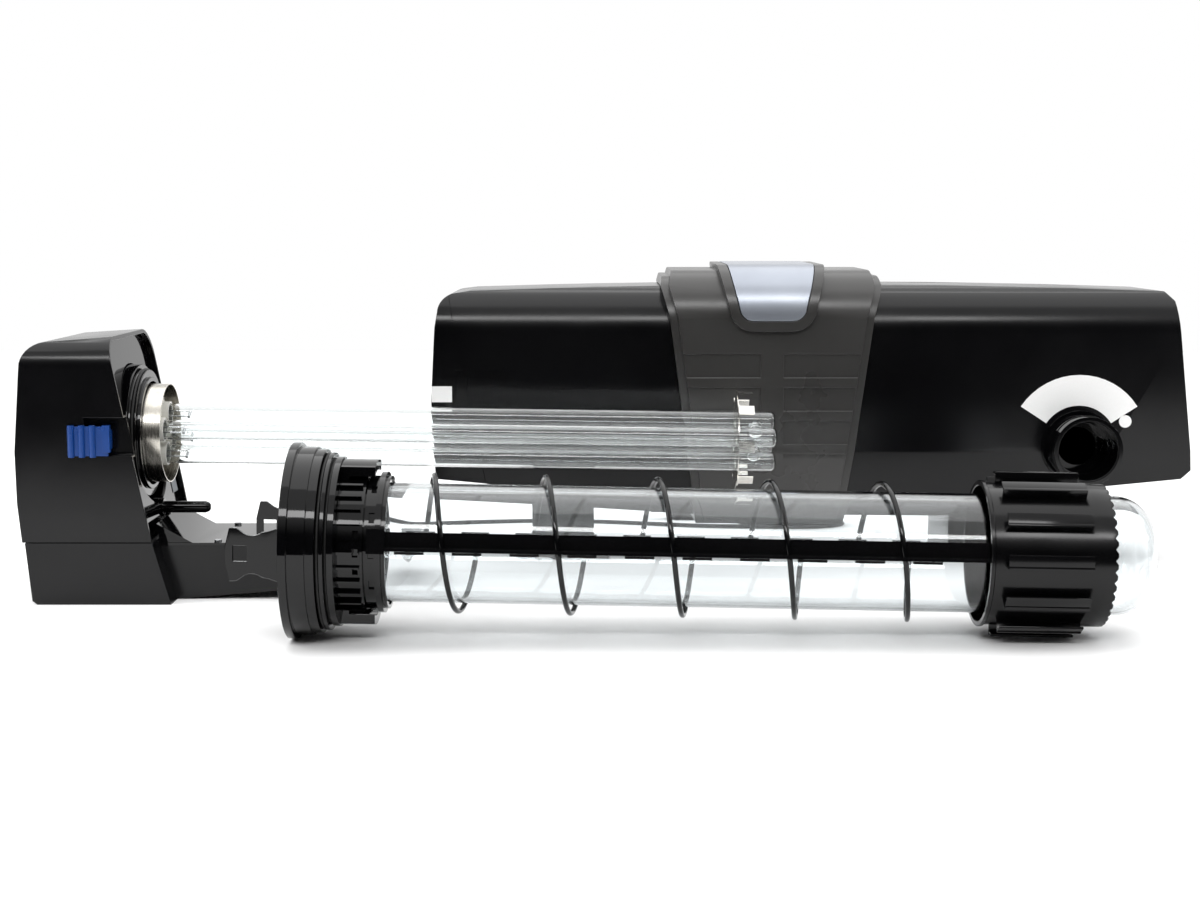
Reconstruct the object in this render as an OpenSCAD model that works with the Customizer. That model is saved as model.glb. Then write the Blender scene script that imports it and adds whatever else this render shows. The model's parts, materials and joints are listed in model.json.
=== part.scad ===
// Ultraviolet water clarifier for ponds, laid out in its three units on a bench:
// the flow housing, the lamp head, and the quartz sleeve with its cleaning rotor.
// Millimetres, +Z up, +X to the right along the housing, +Y to the back.
// The origin is on the bench, under the middle of the whole layout.

/* [Flow housing] */
// Length of the housing
house_l = 671; // [640:1:700]
// Depth of the housing, front to back
house_w = 152; // [150:1:160]
// Height of the top at mid length
house_top = 250; // [246:1:256]
// Height of the underside at mid length
house_low = 57; // [54:1:62]
// Height of the underside at both ends
house_low_end = 79; // [74:1:84]
// Height of the crease where the sides turn under
crease_z = 105; // [98:1:112]
// Radius of the long top shoulders
shoulder_r = 42; // [30:1:55]
// Wall of the housing
house_wall = 3.5; // [2.5:0.5:5]
// Radius of the bore that takes the sleeve carrier
bore_r = 70; // [69.5:0.1:71]
// Outer radius of the flow chamber
chamber_r = 67; // [66:0.5:68]
// Wall of the flow chamber
chamber_wall = 3; // [2:0.5:3.5]
// Height of the bore's axis
bore_z = 160; // [158:1:162]

/* [Saddle cover] */
// Half width of the saddle cover along its top
saddle_top = 97; // [90:1:104]
// Half width of the saddle cover at its lower edge
saddle_foot = 65; // [58:1:72]
// How far the saddle stands proud of the housing
saddle_proud = 13; // [10:1:16]
// Height of the saddle cover's lower edge
saddle_low = 45; // [42:1:50]
// Depth of the recessed panels
panel_deep = 1.5; // [1:0.5:3]

/* [Hose stubs and legs] */
// Outer radius of the hose stub, a G2 thread's
stub_r = 29.8; // [28:0.1:30]
// Bore radius of the hose stub
stub_bore_r = 25.5; // [24:0.5:26]
// How far the front stub stands out of the housing
stub_out = 38; // [30:1:45]
// Height of the stub's axis
stub_z = 109; // [105:1:112]
// Width of a leg
leg_w = 55; // [45:1:65]
// Depth of a leg, front to back
leg_d = 104; // [95:1:112]

/* [Lamp head] */
// Depth of the lamp head, front to back
head_w = 148; // [140:1:152]
// Height of the lamp head at its right edge
head_top = 214.5; // [205:0.5:220]
// Height of the seam between cover and tray
seam_z = 50; // [45:1:55]
// Lean of the mating end from upright, in degrees
end_lean = 11; // [8:0.5:13]
// Wall of the head's mouldings
head_wall = 3; // [2:0.5:4]
// Depth of the arm, front to back
arm_w = 100; // [90:1:110]
// Height of the arm's top face
arm_top = 46.5; // [44:0.5:48]
// Height of the lamp axis at the sockets
lamp_z = 131; // [128:1:134]
// Outer radius of the reflector ring
ring_r = 41; // [39:0.5:41]
// Sheet thickness of the reflector ring
ring_sheet = 0.8; // [0.5:0.1:1.2]

/* [Lamps] */
// Diameter of a lamp tube
tube_d = 16.5; // [15:0.5:17.5]
// Distance between neighbouring tubes
tube_pitch = 24; // [22:0.5:25]
// Turn of the four tubes about the lamp axis, in degrees
lamp_turn = 28; // [20:1:35]
// Overall length of a lamp, cap to tip
lamp_l = 535; // [530:1:540]
// Sag of the lamps out of level, in degrees
lamp_sag = 0.8; // [0:0.1:1]

/* [Quartz sleeve] */
// Outer diameter of the quartz sleeve
quartz_d = 88; // [87:0.5:88]
// Wall of the quartz sleeve
quartz_wall = 2.5; // [1.5:0.5:3]
// Distance from the carrier's rim to the quartz tip
quartz_tip = 637; // [620:1:650]
// Radius of the carrier's rim
rim_r = 72.5; // [72:0.5:76]

/* [Cleaning rotor] */
// Outer radius of the hoops
hoop_r = 52; // [51:0.5:52.5]
// Diameter of the hoop wire
hoop_d = 4; // [3:0.5:5]
// Number of hoops
hoop_count = 5; // [3:1:5]
// Distance between hoops
hoop_pitch = 82.7; // [75:0.1:84]
// Advance of one hoop along the axis in its turn
hoop_advance = 41; // [30:1:50]
// Outer radius over the paddles
paddle_r = 61.5; // [58:0.5:62]
// Number of paddles on the drum
paddle_count = 12; // [8:1:16]
// Outer radius of the drum
drum_r = 52.5; // [51:0.5:54]
// Number of teeth on the drum's free edge
tooth_count = 40; // [24:1:60]

/* [Mains lead] */
// Diameter of the mains lead
lead_d = 6.5; // [6:0.5:7]

/* [Hidden] */

// Smoothness of round parts, and of the arcs in outlines
round_fn = 72;
arc_steps = 8;
// A gap that keeps neighbouring pieces apart, and an overlap for cutting through
gap = 0.3;
cut = 1;

// Where the housing stands: its middle, and the saddle's
house_x = 159;
house_y = 165;
saddle_x = 122;
house_half = house_l / 2;
// Slanted seam between the end ring and the housing, leaning like the head's end
seam_top_x = -165;
// Front and rear stubs, along X
stub_x = 393;
rear_stub_x = -50;
leg_xs = [-61, 312];
// Seat at the end of the wide bore, and the chamber's closed end
bore_seat = -112;
chamber_end = 470;
// The rear stub sits a little higher than the front one
rear_stub_z = stub_z + 16;

// Where the lamp head stands: its middle depth, its left side, and its mating end at bench level
head_y = 2;
head_left = -494.5;
end_foot_x = -377.5;
arm_end_x = -180;
lamp_root_x = -417;
tray_foot_x = -373;

// Where the sleeve lies: the rim's face, and the axis above the bench
sleeve_x = -255;
sleeve_y = -187;
rim_t = 6;
drum_from = 506;
drum_to = 597;
paddle_from = 517;
paddle_to = 578;
// The rim and the paddles rest on the bench, so the axis slopes down to the drum
floor_gap = 0.1;
sleeve_tilt = atan((rim_r - paddle_r) / (paddle_to - rim_t));
axis_z = rim_r * cos(sleeve_tilt) + rim_t * sin(sleeve_tilt) + floor_gap;
quartz_r = quartz_d / 2;
running = 0.08;
spigot_r = quartz_r + 2.2;
bar_turn = -10;

// The lead: from the gland down to the bench, behind the housing, and into its coil
lead_r = lead_d / 2;
lead_floor = lead_r + 0.1;
lead_exit = [-430, 104, 24];
coil_at = [172, 407.2];
coil_out_r = 57.5;
coil_in_r = 24.5;
coil_h = 26.3;
plug_at = [92, 460.2];
lead_route = [
    [-430, 104, 24], [-430, 119, 23], [-430, 134, 17], [-428, 148, 9], [-424, 162, 4.5],
    [-416, 176, lead_floor], [-398, 196, lead_floor], [-370, 223, lead_floor],
    [-337, 253, lead_floor], [-303, 285, lead_floor], [-270, 317, lead_floor],
    [-238, 343, lead_floor], [-200, 362, lead_floor], [-150, 385, lead_floor],
    [-93, 402, lead_floor], [-35, 399, lead_floor], [14, 382, lead_floor],
    [64, 362, lead_floor], [110, 353.6, lead_floor], [140, 352.7, lead_floor],
    [171, 353, lead_floor]
];
lead_end_route = [
    [172, 461.4, 23], [160, 460.8, 22.6], [148, 460.4, 21.6], [136, 460.2, 20.4], [124, 460.2, 19.3],
    [112, 460.2, 18.6]
];

function arc(centre, r, from, to, steps = arc_steps) =
    [for (i = [0:steps]) centre + r * [cos(from + (to - from) * i / steps), sin(from + (to - from) * i / steps)]];

function unit(v) = v / norm(v);

// Catmull-Rom point between p1 and p2
function blend(p0, p1, p2, p3, t) =
    0.5 * ((2 * p1) + (p2 - p0) * t + (2 * p0 - 5 * p1 + 4 * p2 - p3) * t * t
    + (3 * p1 - p0 - 3 * p2 + p3) * t * t * t);

function smooth_route(points, steps) = let (last = len(points) - 1) concat(
    [for (i = [0:last - 1]) for (k = [0:steps - 1])
        blend(points[max(i - 1, 0)], points[i], points[i + 1], points[min(i + 2, last)], k / steps)],
    [points[last]]);

// A closed tube through a list of rings, each ring a loop of points
module sweep(rings) {
    m = len(rings[0]);
    n = len(rings);
    polyhedron(
        points = [for (ring = rings) each ring],
        faces = concat(
            [[for (j = [0:m - 1]) j]],
            [for (i = [0:n - 2]) for (j = [0:m - 1])
                [i * m + j, (i + 1) * m + j, (i + 1) * m + (j + 1) % m, i * m + (j + 1) % m]],
            [[for (j = [m - 1:-1:0]) (n - 1) * m + j]]),
        convexity = 10);
}

// A round tube along a route that stays near level
module route_tube(points, r, sides = 8) {
    last = len(points) - 1;
    sweep([for (i = [0:last])
        let (t = unit(points[min(i + 1, last)] - points[max(i - 1, 0)]),
            a = unit(cross([0, 0, 1], t)), b = cross(t, a))
        [for (j = [0:sides - 1]) points[i] + r * (cos(j * 360 / sides) * a + sin(j * 360 / sides) * b)]]);
}

// A turned solid about the X axis; profile points are [distance along X, radius]
module turned(profile, fn = round_fn)
    rotate([0, 90, 0]) rotate_extrude($fn = fn) polygon([for (p = profile) [p[1], p[0]]]);

module tube_x(from, to, r_out, r_in, fn = round_fn)
    turned([[from, r_in], [to, r_in], [to, r_out], [from, r_out]], fn);

module rod_x(from, to, r, fn = round_fn)
    translate([from, 0, 0]) rotate([0, 90, 0]) cylinder(h = to - from, r = r, $fn = fn);

module rod_y(from, to, r, fn = round_fn)
    translate([0, from, 0]) rotate([-90, 0, 0]) cylinder(h = to - from, r = r, $fn = fn);

// Box from its lowest to its highest corner
module block(low, high)
    translate(low) cube(high - low);

// An outline drawn in X and Z, given depth from y0 to y1
module slab_y(y0, y1)
    translate([0, y1, 0]) rotate([90, 0, 0]) linear_extrude(y1 - y0) children();

// An outline drawn in Y and Z, given length from x0 to x1
module slab_x(x0, x1)
    translate([x0, 0, 0]) rotate([90, 0, 90]) linear_extrude(x1 - x0) children();

// ---- flow housing ----

// Side outline of the housing about its middle, drawn in by g all round
function crown(x) = house_top - 6 * pow(x / 320, 2);
module housing_outline(g = 0)
    polygon(concat(
        [[-house_half + 3 + g, house_low_end + g], [-110, house_low + g], [110, house_low + g],
            [house_half - 8 - g, house_low_end + g], [house_half - g, house_low_end + 8],
            [house_half - 17 - g, 236], [house_half - 24 - g, crown(311) - g]],
        [for (x = [288:-32:-288]) [x, crown(x) - g]],
        [[-302, crown(302) - g], each arc([-313, 226], 17 - g, 98, 180), [-332 + g, 213], [-house_half + g, 150]]));

// Section of the housing about its middle, drawn in by g and out for the saddle
module housing_section(g = 0, low = 40) {
    b = house_w / 2 - g;
    top = house_top - g;
    polygon(concat(
        [[-b + 14, low], [b - 14, low], [b, crease_z]],
        arc([b - shoulder_r, top - shoulder_r], shoulder_r, 0, 90),
        arc([-b + shoulder_r, top - shoulder_r], shoulder_r, 90, 180),
        [[-b, crease_z]]));
}

module housing_solid(g = 0)
    translate([house_x, house_y, 0]) intersection() {
        slab_y(-house_w, house_w) housing_outline(g);
        slab_x(-house_half, house_half) housing_section(g);
    }

// Everything on the left of the slanted seam
module left_of_seam(shift = 0)
    slab_y(0, 2 * house_y) polygon([
        [seam_top_x + shift, house_top + 10], [-400, house_top + 10], [-400, 0],
        [seam_top_x + shift + (house_top + 10) * tan(end_lean), 0]]);

latch_pocket_x = [-155, -110];
latch_pocket_z = [140, 176];
module latch_pocket()
    for (side = [-1, 1]) {
        face = house_y + side * house_w / 2;
        block([latch_pocket_x[0], min(face, face - side * 3) - 0.01, latch_pocket_z[0]],
            [latch_pocket_x[1], max(face, face - side * 3) + 0.01, latch_pocket_z[1]]);
        block([-145, min(face, face - side * 5.5) - 0.01, 146], [-122, max(face, face - side * 5.5) + 0.01, 170]);
    }

module bore_axis() translate([0, house_y, bore_z]) children();

module housing_body() {
    color("#161618") difference() {
        union() {
            difference() {
                housing_solid();
                housing_solid(house_wall);
            }
            // Bulkhead that carries the chamber's open end
            intersection() {
                housing_solid(1);
                bore_axis() rod_x(-200, bore_seat + 6, 90);
            }
        }
        left_of_seam(0.2);
        latch_pocket();
        bore_axis() rod_x(-200, bore_seat, bore_r);
        bore_axis() rod_x(-200, 0, chamber_r);
        translate([stub_x, 0, stub_z]) rod_y(house_y - house_w, house_y, stub_r - 1.5);
        translate([rear_stub_x, 0, rear_stub_z]) rod_y(house_y, house_y + house_w, stub_r - 1.5);
    }
}

module housing_end_ring()
    color("#141416") difference() {
        intersection() {
            housing_solid();
            left_of_seam();
        }
        latch_pocket();
        bore_axis() rod_x(-200, 0, bore_r);
    }

module chamber_tube()
    color("#2a2b2e") difference() {
        union() {
            bore_axis() tube_x(bore_seat + 0.5, chamber_end, chamber_r - 0.1, chamber_r - chamber_wall);
            bore_axis() rod_x(chamber_end - chamber_wall, chamber_end, chamber_r - 1);
        }
        translate([stub_x, 0, stub_z]) rod_y(house_y - house_w, house_y, stub_bore_r);
        translate([rear_stub_x, 0, rear_stub_z]) rod_y(house_y, house_y + house_w, stub_bore_r);
    }

// Outline of the saddle, drawn in by g at the sides and raised at the top
module saddle_outline(g = 0, top = 300)
    polygon([[-saddle_foot + g, saddle_low + g / 2], [saddle_foot - g, saddle_low + g / 2],
        [saddle_top - 8 - g, 222], [saddle_top - g, house_top], [saddle_top - 9 - g, top],
        [-saddle_top + 9 + g, top], [-saddle_top + g, house_top], [-saddle_top + 8 + g, 222]]);

module saddle_solid(proud, g)
    intersection() {
        slab_y(-house_w, house_w) saddle_outline(g);
        slab_x(-150, 150) housing_section(-proud, saddle_low);
    }

insert_top = 46;
insert_foot = 29;
module insert_outline(g = 0)
    polygon(concat([[-insert_top - g, 300]],
        arc([-insert_foot + 12, 232], 12 + g, 200, 270, 5), arc([insert_foot - 12, 232], 12 + g, 270, 340, 5),
        [[insert_top + g, 300]]));

module saddle_panels()
    for (side = [-1, 1]) for (row = [0:3]) {
        high = 191 - 29.2 * row;
        wide = 79 - 3.6 * row;
        for (col = [-1, 1])
            slab_y(min(side * (house_w / 2 + saddle_proud - panel_deep), side * 200),
                max(side * (house_w / 2 + saddle_proud - panel_deep), side * 200))
                polygon([[col * 10, high], [col * wide, high], [col * (wide - 2.6), high - 20.5],
                    [col * 10, high - 20.5]]);
    }

module saddle_cover()
    color("#4b4a48") translate([saddle_x, house_y, 0]) difference() {
        union() {
            saddle_solid(saddle_proud - 5, 0);
            saddle_solid(saddle_proud, 7);
            // Raised surround of the insert
            intersection() {
                saddle_solid(saddle_proud + 5, 8);
                slab_y(-house_w, house_w) insert_outline(9);
            }
        }
        translate([-saddle_x, -house_y, 0]) housing_solid(-0.2);
        block([-60, -62, 30], [60, 62, 100]);
        difference() {
            slab_y(-house_w, house_w) insert_outline(0.4);
            slab_x(-100, 100) housing_section(-saddle_proud - 1, 0);
        }
        saddle_panels();
    }

module saddle_insert()
    color("#c9ccd2") translate([saddle_x, house_y, 0]) difference() {
        intersection() {
            slab_y(-house_w, house_w) insert_outline();
            slab_x(-60, 60) housing_section(-saddle_proud - 5.4, 0);
        }
        slab_x(-100, 100) housing_section(-saddle_proud - 1.2, -5);
    }

// A hose stub pointing along -Y from the wall's face at y = 0
module hose_stub(out, inner)
    difference() {
        union() {
            rod_y(-out, inner, stub_r - 1.6);
            rod_y(-out, -out + 9, stub_r);
            rod_y(-out + 13, -out + 16, stub_r);
        }
        rod_y(-out - cut, inner + cut, stub_bore_r);
        rod_y(-out - cut, -out + 1.5, stub_bore_r + 1);
    }

// Collar round a stub's root, cut to the shape of the housing's side
module stub_collar(reach)
    difference() {
        rod_y(-reach, 10, stub_r + 2.5);
        rod_y(-reach - cut, 10 + cut, stub_r - 1.6);
    }

module front_stub()
    color("#101012") difference() {
        union() {
            translate([stub_x, house_y - house_w / 2, stub_z]) hose_stub(stub_out, 14);
            difference() {
                translate([stub_x, house_y - house_w / 2, stub_z]) stub_collar(7);
                housing_solid(-0.1);
            }
        }
        bore_axis() rod_x(300, 500, chamber_r + 0.3);
    }

module rear_stub()
    color("#101012") difference() {
        union() {
            translate([rear_stub_x, house_y + house_w / 2, rear_stub_z]) mirror([0, 1, 0]) hose_stub(18, 14);
            difference() {
                translate([rear_stub_x, house_y + house_w / 2, rear_stub_z]) mirror([0, 1, 0]) stub_collar(5);
                housing_solid(-0.1);
            }
        }
        bore_axis() rod_x(-110, 100, chamber_r + 0.3);
    }

// Short sleeve that turns in the stub's bore; its window opens or shuts the bypass
module bypass_insert()
    color("#3a3b3d") translate([stub_x, house_y - house_w / 2, stub_z]) difference() {
        rod_y(-14, 6, stub_bore_r - running);
        rod_y(-14 - cut, 4, stub_bore_r - 3);
        rod_y(-14 - cut, 6 + cut, 17);
        for (turn = [0, 180]) rotate([0, turn, 0]) block([10, -12, -6], [stub_r, 2, 6]);
    }

// White fan-shaped setting label above the stub, with a finger tab at its corner
module flow_label() {
    fan_in = 34;
    fan_out = 61;
    half = 57;
    color("white") translate([stub_x, house_y - house_w / 2 - 0.5, stub_z + 2])
        slab_y(0, 0.45) union() {
            polygon(concat(arc([0, 0], fan_out, 90 - half, 90 + half, 16), arc([0, 0], fan_in, 90 + half, 90 - half, 16)));
            translate([41, 20]) circle(r = 5.5, $fn = 32);
        }
}

module maker_label()
    color("#e8e8e6") block([-176, house_y - house_w / 2 - 0.45, 148], [-158, house_y - house_w / 2 - 0.05, 162]);

// Leg: a box open below, with a foot flange and stiffening ribs on its front and back
module leg(x)
    color("#1b1b1d") translate([x, house_y, 0]) difference() {
        union() {
            block([-leg_w / 2, -leg_d / 2, 0], [leg_w / 2, leg_d / 2, house_low + 24]);
            for (side = [-1, 1]) for (rib = [-1, 1])
                block([rib * (leg_w / 2 - 6) - 2, side > 0 ? leg_d / 2 : -leg_d / 2 - 5, 0],
                    [rib * (leg_w / 2 - 6) + 2, side > 0 ? leg_d / 2 + 5 : -leg_d / 2, house_low + 8]);
            for (side = [-1, 1])
                block([-leg_w / 2 - 14, side * (leg_d / 2 - 14) - 12, 0], [leg_w / 2 + 14, side * (leg_d / 2 - 14) + 12, 5]);
        }
        translate([-x, -house_y, 0]) housing_solid(-0.2);
        block([-leg_w / 2 + 4, -leg_d / 2 + 4, -cut], [leg_w / 2 - 4, leg_d / 2 - 4, house_low - 9]);
        for (side = [-1, 1]) for (rib = [-1, 1])
            translate([rib * (leg_w / 2 + 7), side * (leg_d / 2 - 14), -cut]) cylinder(h = 20, r = 3.3, $fn = 32);
    }

module screw(head_r, shank_r, length) {
    difference() {
        translate([0, 0, -3]) cylinder(h = 3, r = head_r, $fn = 32);
        for (turn = [0, 90]) rotate([0, 0, turn]) translate([-head_r * 0.6, -0.6, -3.01]) cube([head_r * 1.2, 1.2, 1.6]);
    }
    cylinder(h = length, r = shank_r, $fn = 24);
}

// Screws that hold the legs to the housing, driven from inside each leg
module housing_screws()
    color("silver") for (x = leg_xs) for (side = [-1, 1])
        translate([x, house_y + side * 26, house_low - 9.2]) screw(4.5, 2, 15);

// ---- lamp head ----

// The mating end's edge, at height z
function end_x(z) = end_foot_x - z * tan(end_lean);

module cover_outline(g = 0)
    polygon([[head_left + 3 + g, seam_z + gap], [head_left + 0.5 + g, 83], [head_left + g, 124],
        each arc([head_left + 25.5, 191], 20 - g, 180, 98), [end_x(head_top) + 3 * g, head_top - g],
        [end_x(seam_z) + 3 * g, seam_z + gap]]);

module cover_section(g = 0) {
    b = head_w / 2 - g;
    r = 24;
    polygon(concat([[-b + 1.5, seam_z - 1], [b - 1.5, seam_z - 1], [b, 78]],
        arc([b - r, head_top - g - r], r, 0, 90), arc([-b + r, head_top - g - r], r, 90, 180), [[-b, 78]]));
}

module cover_solid(g = 0)
    translate([0, head_y, 0]) intersection() {
        slab_y(-head_w, head_w) cover_outline(g);
        slab_x(head_left - 1, -370) cover_section(g);
    }

latch_x = [-451, -417];
latch_z = [120, 145.5];
recess_x = -438.5;
recess_z = [121, 151];
recess_deep = 9;
// The latch recess, open at the mating end; side -1 is the front
module latch_recess(side, wall = 0) {
    face = head_w / 2;
    translate([0, head_y, 0]) mirror([0, side > 0 ? 1 : 0, 0])
        block([recess_x - wall, -face - (wall > 0 ? 0 : cut), recess_z[0] - wall],
            [-370, -face + recess_deep + wall, recess_z[1] + wall]);
}

module head_cover()
    color("#1a1a1c") difference() {
        union() {
            difference() {
                cover_solid();
                cover_solid(head_wall);
            }
            for (side = [-1, 1]) intersection() {
                cover_solid(0.5);
                latch_recess(side, 2);
            }
        }
        for (side = [-1, 1]) latch_recess(side);
        past_end(0);
    }

// Everything to the right of the mating end, drawn in by g
module past_end(g)
    slab_y(-200, 200) polygon([[end_foot_x - g, 0], [0, 0], [0, 300], [end_x(300) - g, 300]]);

module lamp_axis() translate([0, head_y, lamp_z]) children();

// Plate that closes the head, set back from the cover's edge
module end_plate()
    color("#121214") difference() {
        cover_solid(head_wall + 0.2);
        past_end(5);
        translate([-3, 0, 0]) difference() {
            translate([-200, 0, 0]) cube([800, 800, 800], center = true);
            past_end(5);
        }
        for (side = [-1, 1]) latch_recess(side, 2.3);
        lamp_axis() rod_x(-480, -300, 58);
    }

module arm_outline(g = 0)
    polygon([[-484, 1 + g], [tray_foot_x, 0.1 + g], [-290, 7 + g], [arm_end_x - 7, 19 + g], [arm_end_x - g, 27],
        [arm_end_x - g, arm_top - 2.5], [-484, arm_top - 2.5]]);

module base_outline(g = 0)
    polygon([[head_left + 5.5 + g, seam_z], [head_left + 10 + g, 3 + g], [head_left + 14 + g, g],
        [tray_foot_x - g, g], [end_x(seam_z) - g, seam_z]]);

module head_tray()
    color("#1c1c1e") translate([0, head_y, 0]) difference() {
        union() {
            slab_y(-head_w / 2 + 0.8, head_w / 2 - 0.8) base_outline();
            slab_y(-arm_w / 2, arm_w / 2) arm_outline();
        }
        difference() {
            slab_y(-head_w / 2 + 4, head_w / 2 - 4) base_outline(3);
            slab_y(-head_w, head_w) polygon([[-600, seam_z - 3], [0, seam_z - 3], [0, 90], [-600, 90]]);
        }
        slab_y(-head_w / 2 + 4, head_w / 2 - 4) polygon([[-470, 20], [-400, 20], [-400, 60], [-470, 60]]);
        block([-400, -arm_w / 2 + 3, 22], [-378, arm_w / 2 - 3, arm_top - 2.5]);
        difference() {
            slab_y(-arm_w / 2 + 3, arm_w / 2 - 3) arm_outline(3);
            block([-600, -100, -10], [tray_foot_x + 2, 100, 90]);
        }
        block([tray_foot_x - 12, -arm_w / 2 + 3, 22], [tray_foot_x + 20, arm_w / 2 - 3, arm_top - 2.5]);
        block([-386, -arm_w / 2, arm_top - 2.5], [-340, arm_w / 2, arm_top + 20]);
    }

// Lid of the arm, with the ramp that meets the mating end
module tray_lid()
    color("#202023") translate([0, head_y, 0]) difference() {
        union() {
            block([-383, -arm_w / 2, arm_top - 2.4], [arm_end_x, arm_w / 2, arm_top]);
            slab_y(-arm_w / 2 + 1, arm_w / 2 - 1)
                polygon([[end_x(arm_top) + 0.8, arm_top - 2.4], [-360, arm_top - 2.4], [-360, arm_top], [end_x(62) + 0.8, 62]]);
        }
        for (x = [-340, arm_end_x - 8]) for (side = [-1, 1])
            translate([x, side * (arm_w / 2 - 7), 0]) cylinder(h = 100, r = 1.6, $fn = 24);
    }

// Blue push latch: a ribbed grip in front, its foot guided in the recess
module latch(side)
    color("#1f4e9e") translate([0, head_y, 0]) mirror([0, side > 0 ? 1 : 0, 0]) {
        face = -head_w / 2;
        block([latch_x[0], face - 3.4, latch_z[0] + 1], [latch_x[1] - 2, face - gap, latch_z[1] - 1]);
        for (rib = [0:2])
            translate([latch_x[0] + 3 + rib * 8.5, face - 3.4, latch_z[0]]) cylinder(h = latch_z[1] - latch_z[0], r = 2.6, $fn = 32);
        block([latch_x[1] - 6, face - 5, latch_z[0] + 4], [latch_x[1], face - gap, latch_z[1]]);
        // Foot that runs in the recess
        block([-429, face - gap - 0.01, 126], [-418, face + recess_deep - 1, 141]);
    }

module latch_front() latch(-1);
module latch_back() latch(1);

// Black stepped collar that carries the reflector ring and seats the sleeve carrier
module lamp_collar()
    color("#0e0e10") lamp_axis() turned([[-452, 43], [-400.5, 43], [-400.5, 46.5], [-403, 46.5], [-403, 52.5],
        [-404.4, 52.5], [-404.4, 51], [-407.6, 51], [-407.6, 52.5], [-409, 52.5], [-409, 57], [-436, 57], [-436, 50], [-452, 50]]);

module collar_seal()
    color("#050505") lamp_axis() rotate([0, 90, 0]) translate([0, 0, -406])
        rotate_extrude($fn = round_fn) translate([52.5, 0]) circle(r = 1.35, $fn = 24);

// Stainless ring round the lamp caps, held in the collar by bent tabs
module reflector_ring()
    color("#b9bbbd") lamp_axis() {
        tube_x(-414, -386, ring_r, ring_r - ring_sheet);
        for (turn = [40:80:320]) rotate([turn, 0, 0])
            block([-410, -5, ring_r - 0.4], [-409, 5, 42.6]);
    }

// Turns the four-tube pattern and lets the lamps sag in their holders
module lamp_frame()
    translate([lamp_root_x, head_y, lamp_z]) rotate([0, lamp_sag, 0]) rotate([lamp_turn, 0, 0]) children();

function tube_at(a, b) = [0, (a - 0.5) * tube_pitch, (b - 0.5) * tube_pitch];

// Two push-in lamp holders, one above the other, on a bridge in the collar
module lamp_holders()
    color("#e9e8e2") translate([lamp_root_x, head_y, lamp_z]) rotate([lamp_turn, 0, 0]) {
        for (b = [-1, 1]) difference() {
            block([-30, -21, b * tube_pitch / 2 - 11.5], [-1, 21, b * tube_pitch / 2 + 11.5]);
            for (pin = [-12, -4, 4, 12])
                translate([0, pin, b * tube_pitch / 2]) rod_x(-10, 1, 1.9, 24);
        }
        block([-36, -30, -26], [-30.1, 30, 26]);
    }

// Glass of the two twin-tube lamps
module lamp_tubes()
    color("lightcyan", 0.5) lamp_frame()
        for (b = [0, 1]) difference() {
            union() {
                for (a = [0, 1]) translate(tube_at(a, b)) rod_x(24, lamp_l, tube_d / 2, 36);
                translate([lamp_l - 17, 0, (b - 0.5) * tube_pitch]) rod_y(-tube_pitch / 2, tube_pitch / 2, 5, 32);
            }
            for (a = [0, 1]) translate(tube_at(a, b)) rod_x(26, lamp_l - 1.5, tube_d / 2 - 1.2, 36);
        }

module lamp_caps()
    color("#f2f1ec") lamp_frame()
        for (b = [0, 1]) {
            difference() {
                union() {
                    block([0, -20.5, (b - 0.5) * tube_pitch - 11], [23.9, 20.5, (b - 0.5) * tube_pitch + 11]);
                    for (a = [0, 1]) translate(tube_at(a, b)) tube_x(23, 30, tube_d / 2 + 1.6, tube_d / 2 + 0.1, 36);
                }
                for (a = [0, 1]) translate(tube_at(a, b)) rod_x(22, 31, tube_d / 2 + 0.1, 36);
            }
            for (pin = [-12, -4, 4, 12])
                translate([0, pin, (b - 0.5) * tube_pitch]) rod_x(-7, 0.5, 1.15, 24);
        }

// Coiled filaments on their lead wires, at the capped end of each tube
module lamp_electrodes()
    color("#8d8f93") lamp_frame()
        for (b = [0, 1]) for (a = [0, 1]) translate(tube_at(a, b)) {
            for (side = [-1, 1]) translate([0, side * 4, 0]) rod_x(27.5, 46, 0.6, 16);
            translate([46, 0, 0]) rod_y(-5, 5, 1.1, 16);
        }

// Sprung centring plate on the lamps' free end, with bent fingers for the sleeve
module centring_clip() {
    plate_x = lamp_l - 33;
    reach = 38;
    color("#d8d9da") translate([lamp_root_x, head_y, lamp_z]) rotate([0, lamp_sag, 0]) {
        difference() {
            intersection() {
                rod_x(plate_x, plate_x + 0.8, reach);
                for (turn = [0:45:135]) rotate([turn, 0, 0]) block([plate_x - 1, -60, -11], [plate_x + 2, 60, 60]);
            }
            rotate([lamp_turn, 0, 0]) for (a = [0, 1]) for (b = [0, 1])
                translate(tube_at(a, b)) rod_x(plate_x - 1, plate_x + 2, tube_d / 2 + 0.1, 36);
        }
        for (turn = [0:45:315]) rotate([turn, 0, 0]) {
            block([plate_x, -4.5, 25.6], [plate_x + 0.8, 4.5, 43]);
            block([plate_x, -4.5, 40.2], [plate_x + 13, 4.5, 41]);
        }
    }
}

// Guide pin below the lamps that finds the housing as the head goes on
module guide_pin() {
    root = end_x(68.5);
    color("#1a1a1c") translate([0, head_y, 68.5]) turned([[root - 14, 0], [root - 14, 7.5], [root - 2, 7.5],
        [root - 2, 4.9], [-358.5, 4.9], [-355.5, 3.8], [-354, 1.8], [-354, 0]], 36);
}

module ballast()
    color("#d9d9d2") translate([0, head_y, 0]) {
        block([-355, -30, 16], [-245, 30, 40]);
        for (end = [-359, -245]) block([end, -12, 22], [end + 4, 12, 26]);
    }

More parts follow.
